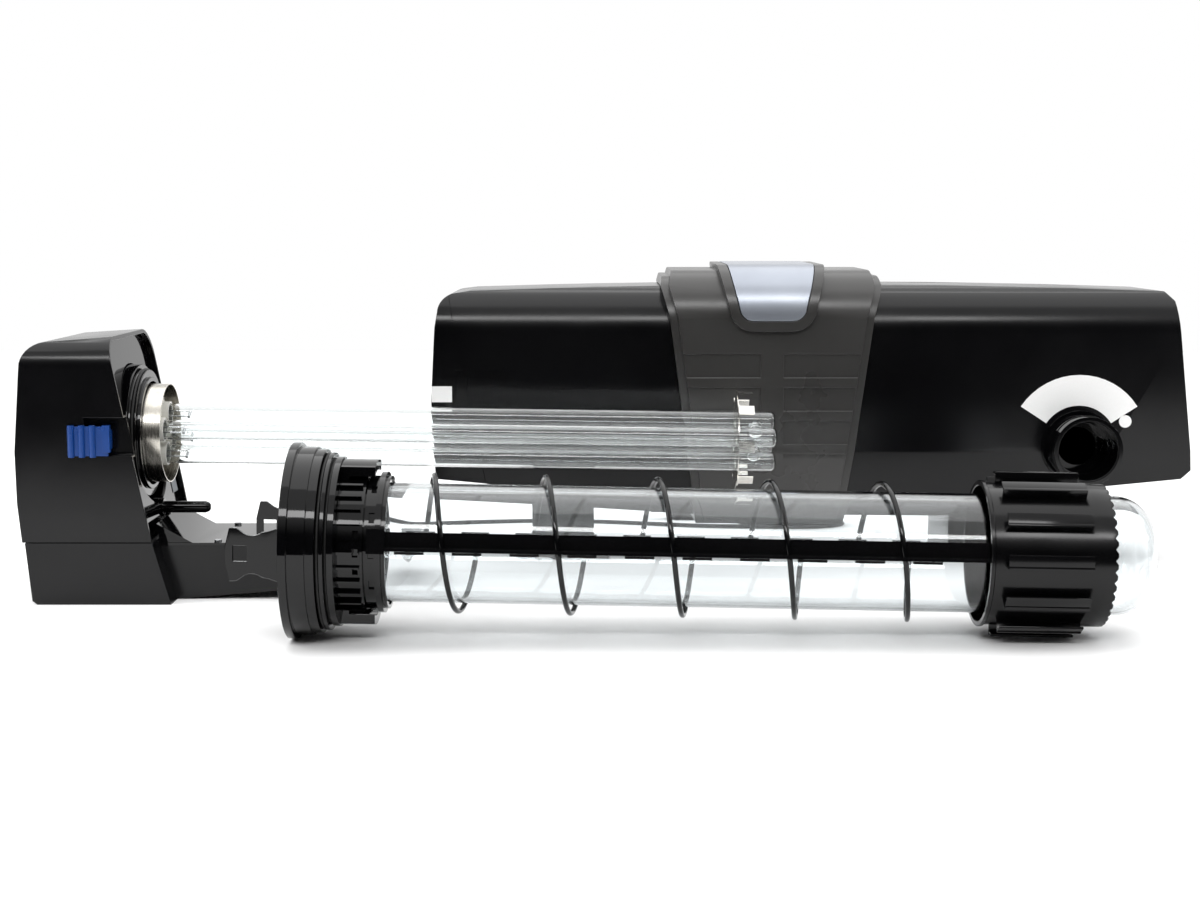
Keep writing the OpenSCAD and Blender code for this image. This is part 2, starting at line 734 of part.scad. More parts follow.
module head_screws()
    color("silver") translate([0, head_y, 0])
        for (x = [-340, arm_end_x - 8]) for (side = [-1, 1])
            translate([x, side * (arm_w / 2 - 7), arm_top]) rotate([180, 0, 0]) {
                translate([0, 0, 0.02]) cylinder(h = 7, r = 1.5, $fn = 24);
                translate([0, 0, -1.6]) cylinder(h = 1.6, r = 3, $fn = 32);
            }

// Blank sticker on the end plate
module head_label()
    color("#9b9fa3") translate([end_x(83) - 5 + 0.1, head_y + 49, 83]) rotate([0, -end_lean, 0])
        block([0.05, 0, -10], [0.4, 17, 10]);

// Nut and bend-relief boot where the lead leaves the back of the head
module cable_gland()
    color("#0d0d0e") translate([lead_exit[0], 0, lead_exit[2]]) {
        difference() {
            union() {
                rod_y(head_y + head_w / 2 - 0.6, head_y + head_w / 2 + 8, 9.5, 32);
                translate([0, head_y + head_w / 2 + 8, 0]) rotate([-90, 0, 0])
                    cylinder(h = lead_exit[1] - head_y - head_w / 2 - 8, r1 = 7, r2 = 4.6, $fn = 32);
            }
            rod_y(0, lead_exit[1] + cut, lead_r + 0.05, 32);
        }
        rod_y(head_y + head_w / 2, lead_exit[1] - 0.1, lead_r - 0.2, 32);
    }

module mains_lead()
    color("#0f0f10") route_tube(smooth_route(lead_route, 3), lead_r);

// The rest of the lead, wound up: the outer shape of its turns
module lead_coil()
    color("#0f0f10") translate([coil_at[0], coil_at[1], 0.1]) rotate_extrude($fn = round_fn)
        translate([coil_in_r, 0]) square([coil_out_r - coil_in_r, coil_h]);

// The last stretch, from the top of the coil down into the plug
module lead_end()
    color("#0f0f10") route_tube(smooth_route(lead_end_route, 2), lead_r);

// Moulded plug, lying on the bench beside the coil
module mains_plug()
    color("#0f0f10") translate([plug_at[0], plug_at[1], 18.6]) {
        rod_x(-42, 0, 18.5, 48);
        rod_x(-46, -42, 17, 48);
        for (side = [-1, 1]) translate([0, side * 9.5, 0]) rod_x(-65, -45.5, 2.4, 24);
        rotate([0, 90, 0]) cylinder(h = 20, r1 = 8, r2 = 4.6, $fn = 32);
    }

// ---- quartz sleeve and cleaning rotor ----

module sleeve_frame()
    translate([sleeve_x, sleeve_y, axis_z]) rotate([0, sleeve_tilt, 0]) children();

// Grip tab on the rim's face, with a keeper hole; drawn for the front of the rim
module grip_tab()
    difference() {
        slab_y(-64, -60.5) difference() {
            polygon(concat([[0.5, -19.5], [0.5, 19.5], [-7, 17]],
                arc([-19, 24.5], 11, -50, -130), [[-30, 19], [-35, 19], [-38, 6], [-38, -6], [-35, -19], [-30, -19]],
                arc([-19, -24.5], 11, 130, 50), [[-7, -17]]));
            translate([-32.5, -5]) square([10, 11.5]);
        }
    }

module sleeve_carrier()
    color("#131315") sleeve_frame() {
        turned([[0, 58], [8, 58], [8, 50.5], [37.8, 50.5], [37.8, 62.6], [33, 62.6], [33, 58], [31, 58], [31, 65.6],
            [28, 65.6], [28, 62], [25, 62], [25, 67.8], [18.5, 67.8], [18.5, 69.3], [rim_t, 69.3], [rim_t, rim_r], [0, rim_r]]);
        for (turn = [0, 180]) rotate([turn, 0, 0]) grip_tab();
    }

// Collar with bayonet lugs, windows and a nose that the rotor runs on
module bayonet_collar()
    color("#151517") sleeve_frame() difference() {
        union() {
            tube_x(38, 57, 50.5, spigot_r - 1.8);
            tube_x(56, 72, spigot_r, quartz_r + 0.3);
            for (turn = [0, 180]) rotate([turn, 0, 0]) intersection() {
                tube_x(38, 63, 61, 54.5);
                block([37, -19, 0], [66, 19, 70]);
            }
            for (turn = [0, 180]) rotate([turn, 0, 0]) intersection() {
                tube_x(38, 44, 61, 50);
                block([37, -19, 0], [66, 19, 70]);
            }
            for (turn = [30:12:330]) rotate([turn, 0, 0]) block([38, -1, 50], [55, 1, 53.5]);
        }
        for (turn = [75:15:105]) for (flip = [0, 180])
            rotate([turn + flip, 0, 0]) block([50, -3, 46.5], [54, 3, 60]);
    }

module carrier_seals()
    color("#050505") sleeve_frame() for (at = [[26.5, 63.7], [32, 59.9]])
        rotate([0, 90, 0]) translate([0, 0, at[0]]) rotate_extrude($fn = round_fn)
            translate([at[1], 0]) circle(r = at[0] > 30 ? 1.6 : 1.4, $fn = 24);

// Ring nut inside the carrier's mouth that clamps the sleeve's seal
module clamp_nut()
    color("#26272a") sleeve_frame() difference() {
        turned([[2, 46], [14, 46], [14, 50.4], [7.6, 50.4], [7.6, 57.6], [2, 57.6]]);
        for (turn = [0:30:330]) rotate([turn, 0, 0]) block([-1, -3, 54], [5, 3, 60]);
    }

quartz_from = 16;
dome_r = 27;
// Closed quartz tube: open at the carrier, its far end a flattened dome
module quartz_sleeve() {
    in_r = quartz_r - quartz_wall;
    color("lightcyan", 0.4) sleeve_frame() turned(concat(
        [[quartz_from, in_r], [quartz_from, quartz_r]],
        [for (p = arc([quartz_tip - dome_r - 3, quartz_r - dome_r], dome_r, 90, 8)) p],
        [[quartz_tip, 0], [quartz_tip - quartz_wall, 0]],
        [for (p = arc([quartz_tip - dome_r - 3, quartz_r - dome_r], dome_r - quartz_wall, 8, 90)) p]));
}

module sleeve_seal()
    color("#30343c") sleeve_frame() tube_x(15, 30, 50.2, quartz_r + 0.15);

module rotor_ring()
    color("#121214") sleeve_frame() difference() {
        union() {
            tube_x(58, 73, hoop_r - 3, spigot_r + running);
            tube_x(66, 70, hoop_r, spigot_r + 1);
        }
        for (turn = [0:30:330]) rotate([turn, 0, 0]) block([61, -4, 47.5], [65, 4, 60]);
    }

// Rotor pieces are set round the sleeve at the bars' angle
module rotor_frame() sleeve_frame() rotate([bar_turn, 0, 0]) children();

module wiper_bars()
    color("#161618") rotor_frame() for (turn = [90, 270]) rotate([turn, 0, 0]) {
        block([73.1, -7, 48.4], [drum_from + 1, -4.5, 53.5]);
        block([73.1, -7, 46.6], [drum_from - 0.1, 7, 48.6]);
        block([60, -9, 49.1], [73.2, 9, 52]);
    }

lip_first = 80;
lip_pitch = 41.2;
lip_l = 21;
module wiper_lips()
    color("#0c0c0d") rotor_frame() for (turn = [90, 270]) rotate([turn, 0, 0]) {
        block([80, -1.2, quartz_r + 0.35], [drum_from - 3, 1.2, 46.5]);
        for (lip = [0:9])
            block([lip_first + lip * lip_pitch, -9, 46], [lip_first + lip_l + lip * lip_pitch, -7.1, 50]);
    }

// One hoop: a single turn of wire that starts and ends on the rear bar
module hoop(mid) {
    steps = 36;
    wire = hoop_d / 2;
    sides = 8;
    sweep([for (i = [0:steps])
        let (turn = 4 + 352 * i / steps, out = [0, cos(turn), sin(turn)],
            centre = [mid + hoop_advance * (turn / 360 - 0.5), 0, 0] + (hoop_r - wire) * out)
        [for (j = [0:sides - 1]) centre + wire * (cos(j * 360 / sides) * [1, 0, 0] + sin(j * 360 / sides) * out)]]);
}

hoop_first = 113.5;
module rotor_hoops()
    color("#101011") rotor_frame() for (i = [0:hoop_count - 1]) hoop(hoop_first + i * hoop_pitch);

// Drum with paddles that the water turns; its inner web runs on the quartz
module paddle_drum()
    color("#141416") rotor_frame() difference() {
        union() {
            tube_x(drum_from, drum_to, drum_r, drum_r - 2.5);
            tube_x(drum_from, drum_from + 3, drum_r + 1.5, drum_r - 2);
            tube_x(drum_from + 14, drum_from + 18, drum_r - 2, quartz_r + running);
            for (i = [0:paddle_count - 1]) rotate([i * 360 / paddle_count - bar_turn, 0, 0]) {
                block([paddle_from, -1.2, drum_r - 1.5], [paddle_to, 1.2, paddle_r - 0.4]);
                block([paddle_from, -1.2, paddle_r - 3], [paddle_to, 9.5, paddle_r - 1.1]);
            }
        }
        for (i = [0:tooth_count - 1]) rotate([(i + 0.5) * 360 / tooth_count, 0, 0])
            translate([drum_to + gap, 0, 0]) rotate([0, 0, 45]) translate([-1.6, -1.6, drum_r - 4]) cube([3.2, 3.2, 6]);
    }

housing_body();
housing_end_ring();
chamber_tube();
saddle_cover();
saddle_insert();
front_stub();
bypass_insert();
rear_stub();
flow_label();
maker_label();
leg(leg_xs[0]);  // leg_left
leg(leg_xs[1]);  // leg_right
housing_screws();
head_cover();
head_tray();
tray_lid();
end_plate();
latch_front();
latch_back();
lamp_collar();
collar_seal();
reflector_ring();
lamp_holders();
lamp_tubes();
lamp_caps();
lamp_electrodes();
centring_clip();
guide_pin();
ballast();
head_screws();
head_label();
cable_gland();
mains_lead();
lead_coil();
lead_end();
mains_plug();
sleeve_carrier();
bayonet_collar();
carrier_seals();
clamp_nut();
quartz_sleeve();
sleeve_seal();
rotor_ring();
wiper_bars();
wiper_lips();
rotor_hoops();
paddle_drum();
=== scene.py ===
import bpy
import bmesh
import json
import math
from mathutils import Matrix, Vector


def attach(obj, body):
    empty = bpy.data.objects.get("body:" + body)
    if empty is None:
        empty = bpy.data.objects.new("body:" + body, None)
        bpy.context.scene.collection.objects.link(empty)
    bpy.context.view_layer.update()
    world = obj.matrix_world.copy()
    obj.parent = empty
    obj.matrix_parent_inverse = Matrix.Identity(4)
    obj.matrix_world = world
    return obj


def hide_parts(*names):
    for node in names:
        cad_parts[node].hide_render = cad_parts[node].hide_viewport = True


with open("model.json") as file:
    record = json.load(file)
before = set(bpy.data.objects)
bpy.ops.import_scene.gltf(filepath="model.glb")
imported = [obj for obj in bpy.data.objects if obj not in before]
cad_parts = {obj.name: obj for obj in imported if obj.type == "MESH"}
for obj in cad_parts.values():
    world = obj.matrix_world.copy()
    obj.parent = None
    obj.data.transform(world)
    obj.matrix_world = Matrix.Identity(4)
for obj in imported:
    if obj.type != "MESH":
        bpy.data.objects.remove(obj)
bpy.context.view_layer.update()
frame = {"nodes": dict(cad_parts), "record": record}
nodes = frame["nodes"]
bodyOf = {n: b for b, names in frame["record"]["behaviour"]["bodies"].items() for n in names}
scene = bpy.context.scene
scene.view_settings.view_transform = "Standard"
mm = 0.001


def hexColour(text):
    # sRGB hex to linear
    parts = [int(text[i:i + 2], 16) / 255 for i in (1, 3, 5)]
    return [c / 12.92 if c <= 0.04045 else ((c + 0.055) / 1.055) ** 2.4 for c in parts] + [1.0]


def addNode(tree, kind, settings=None, values=None, links=None):
    made = tree.nodes.new(kind)
    for key, value in (settings or {}).items():
        setattr(made, key, value)
    for socket, value in (values or {}).items():
        made.inputs[socket].default_value = value
    for socket, source in (links or {}).items():
        tree.links.new(source, made.inputs[socket])
    return made


def placeCamera():
    look = {"place": (-0.028, -1.573, 0.3112), "tiltDown": 7.05, "lens": 57.0}
    data = bpy.data.cameras.new("studioCamera")
    data.lens, data.sensor_width = look["lens"], 36.0
    data.clip_start, data.clip_end = 0.02, 30.0
    camera = bpy.data.objects.new("studioCamera", data)
    camera.location = look["place"]
    camera.rotation_euler = (math.radians(90 - look["tiltDown"]), 0, 0)
    scene.collection.objects.link(camera)
    scene.camera = camera


placeCamera()
print("stage 1: frame loaded, camera placed")

# Mains lead: three-core rubber cable, 5 m, most of it wound up behind the housing
lead = {"diameter": 6.5, "outerTurn": 54.2, "columns": 5, "layers": 4, "pitch": 6.6, "rise": 6.55,
        "stepArc": 120, "start": (172, 353, 3.35), "length": 5.0}
leadRoute = [
    (-430, 104, 24), (-430, 119, 23), (-430, 134, 17), (-428, 148, 9), (-424, 162, 4.5), (-416, 176, 3.35),
    (-398, 196, 3.35), (-370, 223, 3.35), (-337, 253, 3.35), (-303, 285, 3.35), (-270, 317, 3.35),
    (-238, 343, 3.35), (-200, 362, 3.35), (-150, 385, 3.35), (-93, 402, 3.35), (-35, 399, 3.35),
    (14, 382, 3.35), (64, 362, 3.35), (110, 353.6, 3.35), (140, 352.7, 3.35), (171, 353, 3.35)]
leadEnd = [(172, 461.4, 23), (160, 460.8, 22.6), (148, 460.4, 21.6), (136, 460.2, 20.4),
           (124, 460.2, 19.3), (112, 460.2, 18.6)]


def smoothRoute(points, steps):
    p = [Vector(q) for q in points]
    out = []
    for i in range(len(p) - 1):
        a, b, c, d = p[max(i - 1, 0)], p[i], p[i + 1], p[min(i + 2, len(p) - 1)]
        for k in range(steps):
            t = k / steps
            bend, twist = 2 * a - 5 * b + 4 * c - d, 3 * b - a - 3 * c + d
            out.append(0.5 * (2 * b + (c - a) * t + bend * t * t + twist * t ** 3))
    return out + [p[-1]]


def coilTurns():
    # the turn steps inward or outward once a round, and rises just before the next layer's step
    events, radius, at = [], lead["outerTurn"], 360 - lead["stepArc"]
    for layer in range(lead["layers"]):
        for column in range(lead["columns"] - 1):
            radius += lead["pitch"] * (-1 if layer % 2 == 0 else 1)
            events.append((at, "radius", radius))
            at += 360
        at -= lead["stepArc"]
        if layer < lead["layers"] - 1:
            events.append((at, "layer", layer + 1))
            at += 360 - lead["stepArc"]
    last = int((at - 180) // 360 * 360 + 180)
    x, y, z = lead["start"]
    points = []
    for turn in range(10, last, 10):
        radius = before = lead["outerTurn"]
        layer = 0
        for start, what, value in events:
            t = min(max((turn - start) / lead["stepArc"], 0), 1)
            ease = t * t * (3 - 2 * t)
            if what == "radius":
                radius += (value - before) * ease
                before = value
            else:
                layer += ease
        a = math.radians(270 + turn)
        points.append(Vector((x + radius * math.cos(a), y + lead["outerTurn"] + radius * math.sin(a),
                              z + lead["rise"] * layer)))
    return points


def makeLead():
    points = smoothRoute(leadRoute, 4) + coilTurns() + smoothRoute(leadEnd, 3)
    curve = bpy.data.curves.new("mainsLead", "CURVE")
    curve.dimensions = "3D"
    curve.bevel_depth = lead["diameter"] / 2 * mm
    curve.bevel_resolution = 3
    spline = curve.splines.new("POLY")
    spline.points.add(len(points) - 1)
    for spot, p in zip(spline.points, points):
        spot.co = (*(p * mm), 1)
    spline.use_smooth = True
    curve.use_fill_caps = True
    drawn = bpy.data.objects.new("leadCurve", curve)
    scene.collection.objects.link(drawn)
    tube = bpy.data.meshes.new_from_object(drawn.evaluated_get(bpy.context.evaluated_depsgraph_get()))
    bpy.data.objects.remove(drawn)
    piece = bpy.data.objects.new("mainsLead", tube)
    scene.collection.objects.link(piece)
    length = sum((b - a).length for a, b in zip(points, points[1:])) * mm
    print("lead length", round(length, 3))
    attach(piece, "lamp_head")
    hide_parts("mains_lead", "lead_coil", "lead_end")
    return piece, [tuple(p * mm) for p in points]


mainsLead, leadPath = makeLead()
print("stage 2: mains lead")


def newMaterial(name, colour, metallic=0.0, roughness=0.4, **sockets):
    material = bpy.data.materials.new(name)
    material.use_nodes = True
    tree = material.node_tree
    tree.nodes.clear()
    shader = addNode(tree, "ShaderNodeBsdfPrincipled",
                     values={"Base Color": hexColour(colour), "Metallic": metallic, "Roughness": roughness,
                             **sockets})
    addNode(tree, "ShaderNodeOutputMaterial", links={"Surface": shader.outputs["BSDF"]})
    material.diffuse_color = hexColour(colour)
    return material, tree, shader


def mouldedPlastic(name, dark, light, rough, grain, depth, dust=0.0, shine=0.5):
    # injection moulded: fine tool grain, slow drift in gloss, a little handling dust
    material, tree, shader = newMaterial(name, dark, roughness=rough, IOR=1.53,
                                         **{"Specular IOR Level": shine})
    place = addNode(tree, "ShaderNodeTexCoord").outputs["Object"]
    drift = addNode(tree, "ShaderNodeTexNoise", values={"Scale": 9.0, "Detail": 4.0, "Roughness": 0.6},
                    links={"Vector": place})
    fine = addNode(tree, "ShaderNodeTexNoise", values={"Scale": 1000 / grain, "Detail": 2.0},
                   links={"Vector": place})
    speck = addNode(tree, "ShaderNodeTexNoise", values={"Scale": 420.0, "Detail": 3.0, "Roughness": 0.7},
                    links={"Vector": place})
    dustMask = addNode(tree, "ShaderNodeMapRange", values={"From Min": 0.66, "From Max": 0.78,
                                                           "To Min": 0.0, "To Max": dust},
                       links={"Value": speck.outputs["Fac"]})
    tone = addNode(tree, "ShaderNodeMix", {"data_type": "RGBA"},
                   {"A": hexColour(dark), "B": hexColour(light)},
                   {"Factor": drift.outputs["Fac"]})
    dusty = addNode(tree, "ShaderNodeMix", {"data_type": "RGBA"}, {"B": hexColour("#6c6c6a")},
                    {"Factor": dustMask.outputs["Result"], "A": tone.outputs["Result"]})
    tree.links.new(dusty.outputs["Result"], shader.inputs["Base Color"])
    gloss = addNode(tree, "ShaderNodeMapRange", values={"From Min": 0.3, "From Max": 0.7,
                                                        "To Min": rough - 0.04, "To Max": rough + 0.05},
                    links={"Value": drift.outputs["Fac"]})
    tree.links.new(gloss.outputs["Result"], shader.inputs["Roughness"])
    bump = addNode(tree, "ShaderNodeBump", values={"Strength": 0.5, "Distance": depth * mm},
                   links={"Height": fine.outputs["Fac"]})
    tree.links.new(bump.outputs["Normal"], shader.inputs["Normal"])
    return material


# ABS, moulded against a fine spark-eroded tool: black with a soft sheen
satinAbs = mouldedPlastic("absSatinMoulded", "#050506", "#09090b", 0.2, 0.5, 0.006, 0.03, 0.28)
# ABS, moulded against a polished tool: deep black, mirrors the lamps
glossAbs = mouldedPlastic("absPolishedMoulded", "#030304", "#060607", 0.06, 1.2, 0.003, 0.02, 0.3)
# glass-filled nylon, moulded: slightly mottled, dull black
nylon = mouldedPlastic("nylonGlassFilledMoulded", "#040405", "#080809", 0.17, 0.7, 0.008, 0.03, 0.26)
# ABS, coarse spark grain, warm dark grey: scatters the light softly
saddleAbs = mouldedPlastic("absGreySparkGrain", "#2e2d2c", "#373635", 0.3, 0.6, 0.02, 0.02)
# polypropylene, moulded and dyed blue
bluePp = mouldedPlastic("polypropyleneBlueMoulded", "#0e3678", "#15458c", 0.3, 0.8, 0.012)
# PBT lamp base, moulded: clean warm white
whitePbt = mouldedPlastic("pbtWhiteMoulded", "#e4e2da", "#efeee8", 0.42, 0.6, 0.01)
# EPDM, compression moulded: dull black with a waxy bloom
epdm = mouldedPlastic("epdmMoulded", "#050505", "#0a0a0a", 0.5, 0.3, 0.02, 0.03, 0.3)
# rubber cable sheath, extruded: matt, faintly ribbed by the drawing
sheath = mouldedPlastic("rubberSheathExtruded", "#0b0b0c", "#141414", 0.52, 0.5, 0.03, 0.06)


def silverLacquer():
    # ABS sprayed with silver lacquer: fine metal flakes under a satin coat
    material, tree, shader = newMaterial("absSilverLacquered", "#989da7", 0.75, 0.38,
                                         **{"Coat Weight": 0.25, "Coat Roughness": 0.15})
    place = addNode(tree, "ShaderNodeTexCoord").outputs["Object"]
    flake = addNode(tree, "ShaderNodeTexVoronoi", values={"Scale": 2200.0}, links={"Vector": place})
    tone = addNode(tree, "ShaderNodeMapRange", values={"To Min": 0.3, "To Max": 0.42},
                   links={"Value": flake.outputs["Distance"]})
    tree.links.new(tone.outputs["Result"], shader.inputs["Roughness"])
    drift = addNode(tree, "ShaderNodeTexNoise", values={"Scale": 22.0, "Detail": 3.0},
                    links={"Vector": place})
    mix = addNode(tree, "ShaderNodeMix", {"data_type": "RGBA"},
                  {"A": hexColour("#8d929c"), "B": hexColour("#a2a7b0")},
                  {"Factor": drift.outputs["Fac"]})
    tree.links.new(mix.outputs["Result"], shader.inputs["Base Color"])
    return material


def brushedSteel(name, colour, rough, along, across):
    # stainless sheet, rolled and brushed: fine lines that stretch the highlights
    material, tree, shader = newMaterial(name, colour, 1.0, rough)
    place = addNode(tree, "ShaderNodeTexCoord").outputs["Object"]
    lay = addNode(tree, "ShaderNodeMapping", values={"Scale": (across, along, along)},
                  links={"Vector": place})
    lines = addNode(tree, "ShaderNodeTexNoise", values={"Scale": 1.0, "Detail": 3.0},
                    links={"Vector": lay.outputs["Vector"]})
    gloss = addNode(tree, "ShaderNodeMapRange", values={"From Min": 0.3, "From Max": 0.7,
                                                        "To Min": rough - 0.07, "To Max": rough + 0.1},
                    links={"Value": lines.outputs["Fac"]})
    tree.links.new(gloss.outputs["Result"], shader.inputs["Roughness"])
    stain = addNode(tree, "ShaderNodeTexNoise", values={"Scale": 60.0, "Detail": 4.0},
                    links={"Vector": place})
    stained = addNode(tree, "ShaderNodeMapRange", values={"From Min": 0.45, "From Max": 0.8, "To Max": 0.6},
                      links={"Value": stain.outputs["Fac"]})
    tone = addNode(tree, "ShaderNodeMix", {"data_type": "RGBA"},
                   {"A": hexColour(colour), "B": hexColour("#8f8a80")},
                   {"Factor": stained.outputs["Result"]})
    tree.links.new(tone.outputs["Result"], shader.inputs["Base Color"])
    bump = addNode(tree, "ShaderNodeBump", values={"Strength": 0.25, "Distance": 0.01 * mm},
                   links={"Height": lines.outputs["Fac"]})
    tree.links.new(bump.outputs["Normal"], shader.inputs["Normal"])
    return material


def drawnGlass(name, tint, ior):
    # glass tube, drawn and fire polished: almost clear, with faint drawing lines along it
    material, tree, shader = newMaterial(name, tint, 0.0, 0.0, **{"IOR": ior, "Transmission Weight": 1.0})
    place = addNode(tree, "ShaderNodeTexCoord").outputs["Object"]
    lay = addNode(tree, "ShaderNodeMapping", values={"Scale": (4.0, 260.0, 260.0)}, links={"Vector": place})
    lines = addNode(tree, "ShaderNodeTexNoise", values={"Scale": 1.0, "Detail": 2.0},
                    links={"Vector": lay.outputs["Vector"]})
    bump = addNode(tree, "ShaderNodeBump", values={"Strength": 0.03, "Distance": 0.02 * mm},
                   links={"Height": lines.outputs["Fac"]})
    tree.links.new(bump.outputs["Normal"], shader.inputs["Normal"])
    return material


def coatedPaper(name, light, shade):
    # adhesive label, coated paper: matt, with faint fibres
    material, tree, shader = newMaterial(name, light, 0.0, 0.55)
    place = addNode(tree, "ShaderNodeTexCoord").outputs["Object"]
    fibre = addNode(tree, "ShaderNodeTexNoise", values={"Scale": 700.0, "Detail": 5.0, "Distortion": 1.5},
                    links={"Vector": place})
    tone = addNode(tree, "ShaderNodeMix", {"data_type": "RGBA"},
                   {"A": hexColour(light), "B": hexColour(shade)},
                   {"Factor": fibre.outputs["Fac"]})
    tree.links.new(tone.outputs["Result"], shader.inputs["Base Color"])
    bump = addNode(tree, "ShaderNodeBump", values={"Strength": 0.2, "Distance": 0.01 * mm},
                   links={"Height": fibre.outputs["Fac"]})
    tree.links.new(bump.outputs["Normal"], shader.inputs["Normal"])
    return material


silver = silverLacquer()
stainless = brushedSteel("stainlessBrushedSheet", "#cfcbc2", 0.22, 30.0, 4000.0)
springSteel = brushedSteel("springSteelRolledStrip", "#d6d4cf", 0.2, 900.0, 60.0)
zinc = brushedSteel("zincPlatedSteel", "#bfc1c4", 0.3, 300.0, 300.0)
quartz = drawnGlass("quartzDrawnTube", "#f7fafb", 1.46)
lampGlass = drawnGlass("lampGlassDrawnTube", "#f9fbfb", 1.5)
paper = coatedPaper("labelCoatedPaper", "#ffffff", "#f4f4f2")
greyPaper = coatedPaper("labelGreyFilm", "#8f9498", "#7f8488")
print("stage 3: materials")

paint = {
    "satinAbs": (satinAbs, ["housing_body", "housing_end_ring", "leg_left", "leg_right", "head_cover",
                            "head_tray"]),
    "glossAbs": (glossAbs, ["front_stub", "rear_stub", "tray_lid", "end_plate", "lamp_collar",
                            "bayonet_collar",
                            "bypass_insert", "cable_gland", "sleeve_carrier", "clamp_nut", "rotor_ring", "guide_pin", "chamber_tube"]),
    "nylon": (nylon, ["wiper_bars"]),
    "saddleAbs": (saddleAbs, ["saddle_cover"]),
    "silver": (silver, ["saddle_insert"]),
    "bluePp": (bluePp, ["latch_front", "latch_back"]),
    "whitePbt": (whitePbt, ["lamp_caps", "lamp_holders", "ballast"]),
    "epdm": (epdm, ["collar_seal", "carrier_seals", "sleeve_seal", "wiper_lips"]),
    "sheath": (sheath, ["mains_plug"]),
    "stainless": (stainless, ["reflector_ring"]),
    "springSteel": (springSteel, ["centring_clip"]),
    "zinc": (zinc, ["housing_screws", "head_screws", "lamp_electrodes"]),
    "paper": (paper, ["flow_label", "maker_label"]),
    "greyPaper": (greyPaper, ["head_label"]),
}
materialOf = {n: made for made, names in paint.values() for n in names}
for n, made in materialOf.items():
    nodes[n].data.materials.clear()
    nodes[n].data.materials.append(made)
mainsLead.data.materials.clear()
mainsLead.data.materials.append(sheath)


def finishPiece(piece, material, stoodFor):
    # give a new mesh its finish, and let it ride and stand for its CAD node
    if not piece.data.materials:
        piece.data.materials.append(material)
    if piece.name not in scene.collection.objects:
        scene.collection.objects.link(piece)
    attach(piece, bodyOf[stoodFor[0]])
    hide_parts(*stoodFor)
    return piece


def cleanMesh(bm, smoothAngle):
    for face in bm.faces:
        face.smooth = True
    for edge in bm.edges:
        edge.smooth = not (len(edge.link_faces) == 2 and edge.calc_face_angle(0) > math.radians(smoothAngle))


# How much each moulding's edges are rounded, in mm
edgeRound = {
    "housing_body": 2.0, "housing_end_ring": 1.6, "saddle_cover": 1.2, "saddle_insert": 0.9, "front_stub": 0.7,
    "rear_stub": 0.7, "leg_left": 0.9, "leg_right": 0.9, "head_cover": 2.2, "head_tray": 1.0, "tray_lid": 0.6,
    "end_plate": 0.5, "latch_front": 0.5, "latch_back": 0.5, "lamp_collar": 0.5, "reflector_ring": 0.15,
    "lamp_caps": 0.5, "centring_clip": 0.12, "guide_pin": 0.5, "mains_plug": 1.2, "sleeve_carrier": 0.5,
    "bayonet_collar": 0.3, "clamp_nut": 0.4, "sleeve_seal": 0.6, "rotor_ring": 0.3, "wiper_bars": 0.5,
    "cable_gland": 0.5, "bypass_insert": 0.4, "lamp_holders": 0.5,
}


def softenEdges(name, width, bendFrom=30, smoothAngle=34):
    # a copy of the CAD solid with its edges rounded as the mould leaves them
    bm = bmesh.new()
    bm.from_mesh(nodes[name].data)
    bmesh.ops.remove_doubles(bm, verts=bm.verts, dist=3e-6)
    bmesh.ops.dissolve_limit(bm, angle_limit=math.radians(0.6), verts=bm.verts, edges=bm.edges)
    bmesh.ops.recalc_face_normals(bm, faces=bm.faces)
    sharp = [e for e in bm.edges if len(e.link_faces) == 2 and e.calc_face_angle(0) > math.radians(bendFrom)]
    bmesh.ops.bevel(bm, geom=sharp, offset=width * mm, segments=2, profile=0.5, affect="EDGES",
                    clamp_overlap=True)
    bmesh.ops.remove_doubles(bm, verts=bm.verts, dist=1e-6)
    cleanMesh(bm, smoothAngle)
    mesh = bpy.data.meshes.new(name + "Soft")
    bm.to_mesh(mesh)
    bm.free()
    piece = bpy.data.objects.new(name + "Soft", mesh)
    weight = piece.modifiers.new("evenShading", "WEIGHTED_NORMAL")
    weight.keep_sharp = True
    return finishPiece(piece, materialOf[name], [name])


soft = {name: softenEdges(name, edgeRound[name]) for name in nodes if name in edgeRound}
print("stage 4: softened mouldings")

# Sleeve frame: the axis slopes down a little from the rim to the drum
sleeve = {"place": (-255, -187, 72.702), "tilt": 1.1017, "barTurn": -10.0}
sleeveFrame = Matrix.Translation(Vector(sleeve["place"])) @ Matrix.Rotation(math.radians(sleeve["tilt"]),
        4, "Y")
rotorFrame = sleeveFrame @ Matrix.Rotation(math.radians(sleeve["barTurn"]), 4, "X")
# Lamp frame: the lamps' roots, their sag and the turn of the four tubes
lamps = {"root": (-417, 2, 131), "sag": 0.8, "turn": 28}
lampFrame = Matrix.Translation(Vector(lamps["root"])) @ Matrix.Rotation(math.radians(lamps["sag"]), 4, "Y")
lampFrame = lampFrame @ Matrix.Rotation(math.radians(lamps["turn"]), 4, "X")
scaleMm = Matrix.Scale(mm, 4)


